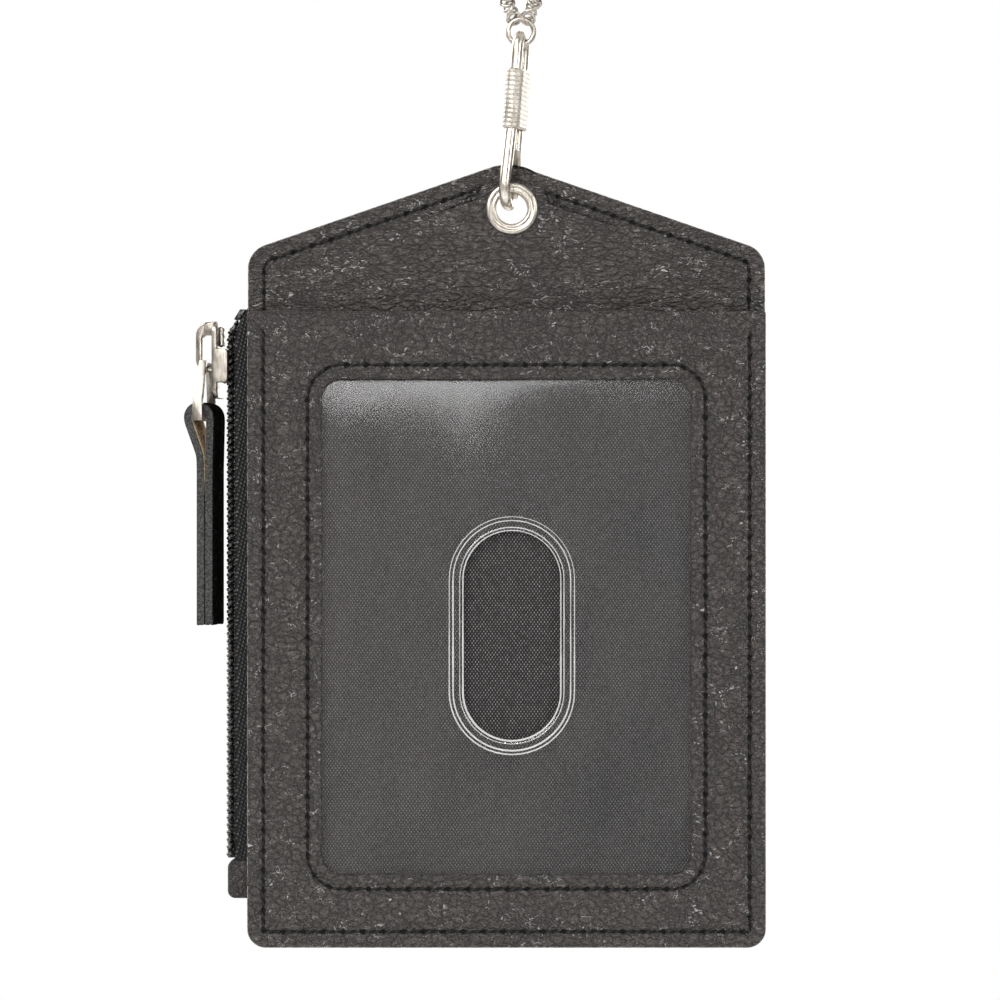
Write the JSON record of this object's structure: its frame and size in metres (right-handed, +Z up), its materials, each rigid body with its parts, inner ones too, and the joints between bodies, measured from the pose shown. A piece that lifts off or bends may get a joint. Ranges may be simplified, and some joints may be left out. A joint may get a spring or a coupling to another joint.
{
  "type": "id badge wallet",
  "caption": "Hanging id badge wallet: leather body with a clear card window and thumb slot, rear card leaves, side zip with pull tab, eyelet and sprung-sleeve hook on chain.",
  "frame": {"origin": "centre of the hanging ring's hole, at the top of the chain", "axes": "+Z up along the hanging wallet, the clear window faces -Y, +X to the right seen from the window's side"},
  "size_m": [0.0869, 0.0128, 0.1619],
  "materials": {
    "leather_front": "pebbled, semi-matt",
    "leather_back": "pebbled, semi-matt",
    "leather_tab": "smooth, raw tan flesh side",
    "clear_sheet": "clear flexible vinyl",
    "weave": "plain-weave nylon",
    "thread": "bonded thread",
    "tape": "knitted zip tape",
    "coil": "nylon coil",
    "nickel": "warm nickel plate",
    "steel_spring": "spring wire"
  },
  "bodies": {
    "chain": {"hang_ring": "nickel", "chain_left": "nickel", "chain_right": "nickel", "jump_ring": "nickel"},
    "hook": {"hook_wire": "nickel", "gate_spring": "steel_spring"},
    "gate": {"hook_sleeve": "nickel", "gate_pin": "nickel"},
    "wallet": {"front_panel": "leather_front", "window_sheet": "clear_sheet", "slot_rim": "clear_sheet", "pocket_lining": "weave", "header_panel": "leather_front", "divider_panel": "leather_back", "gusset": "leather_back", "rear_panel": "leather_back", "card_leaf_upper": "leather_back", "card_leaf_middle": "leather_back", "card_leaf_lower": "leather_back", "body_stitches": "thread", "window_stitches": "thread", "rear_stitches": "thread", "eyelet_front": "nickel", "eyelet_back": "nickel", "zip_tape_front": "tape", "zip_tape_rear": "tape", "zip_coil_front": "coil", "zip_coil_rear": "coil", "zip_top_stops": "coil", "zip_bottom_stop": "coil", "zip_end_tab": "leather_back"},
    "slider": {"slider_body": "nickel", "slider_bail": "nickel"},
    "pull": {"pull_link": "nickel"},
    "tab": {"pull_tab": "leather_tab"}
  },
  "joints": [
    {"name": "hook_swing", "type": "hinge", "parent": "chain", "child": "hook", "pos_m": [0, 0, -0.02133], "axis": [1, 0, 0], "range_deg": [-25, 25]},
    {"name": "gate_slide", "type": "slide", "parent": "hook", "child": "gate", "axis": [0.0785, 0, 0.9969], "range_m": [0, 0.003], "stiffness_N_per_m": 120, "springref_m": -0.002, "deforming": ["gate_spring"]},
    {"name": "wallet_swing", "type": "hinge", "parent": "hook", "child": "wallet", "pos_m": [-0.00137, 0, -0.04576], "axis": [0, 1, 0], "range_deg": [-35, 35]},
    {"name": "zip_slide", "type": "slide", "parent": "wallet", "child": "slider", "axis": [0, 0, -1], "range_m": [0, 0.066]},
    {"name": "pull_swing", "type": "hinge", "parent": "slider", "child": "pull", "pos_m": [-0.04696, 0.0035, -0.06855], "axis": [0.1564, 0.9877, 0], "range_deg": [0, 110]},
    {"name": "tab_swing", "type": "hinge", "parent": "pull", "child": "tab", "pos_m": [-0.04731, 0.00355, -0.07675], "axis": [0.1564, 0.9877, 0], "range_deg": [0, 60]}
  ]
}
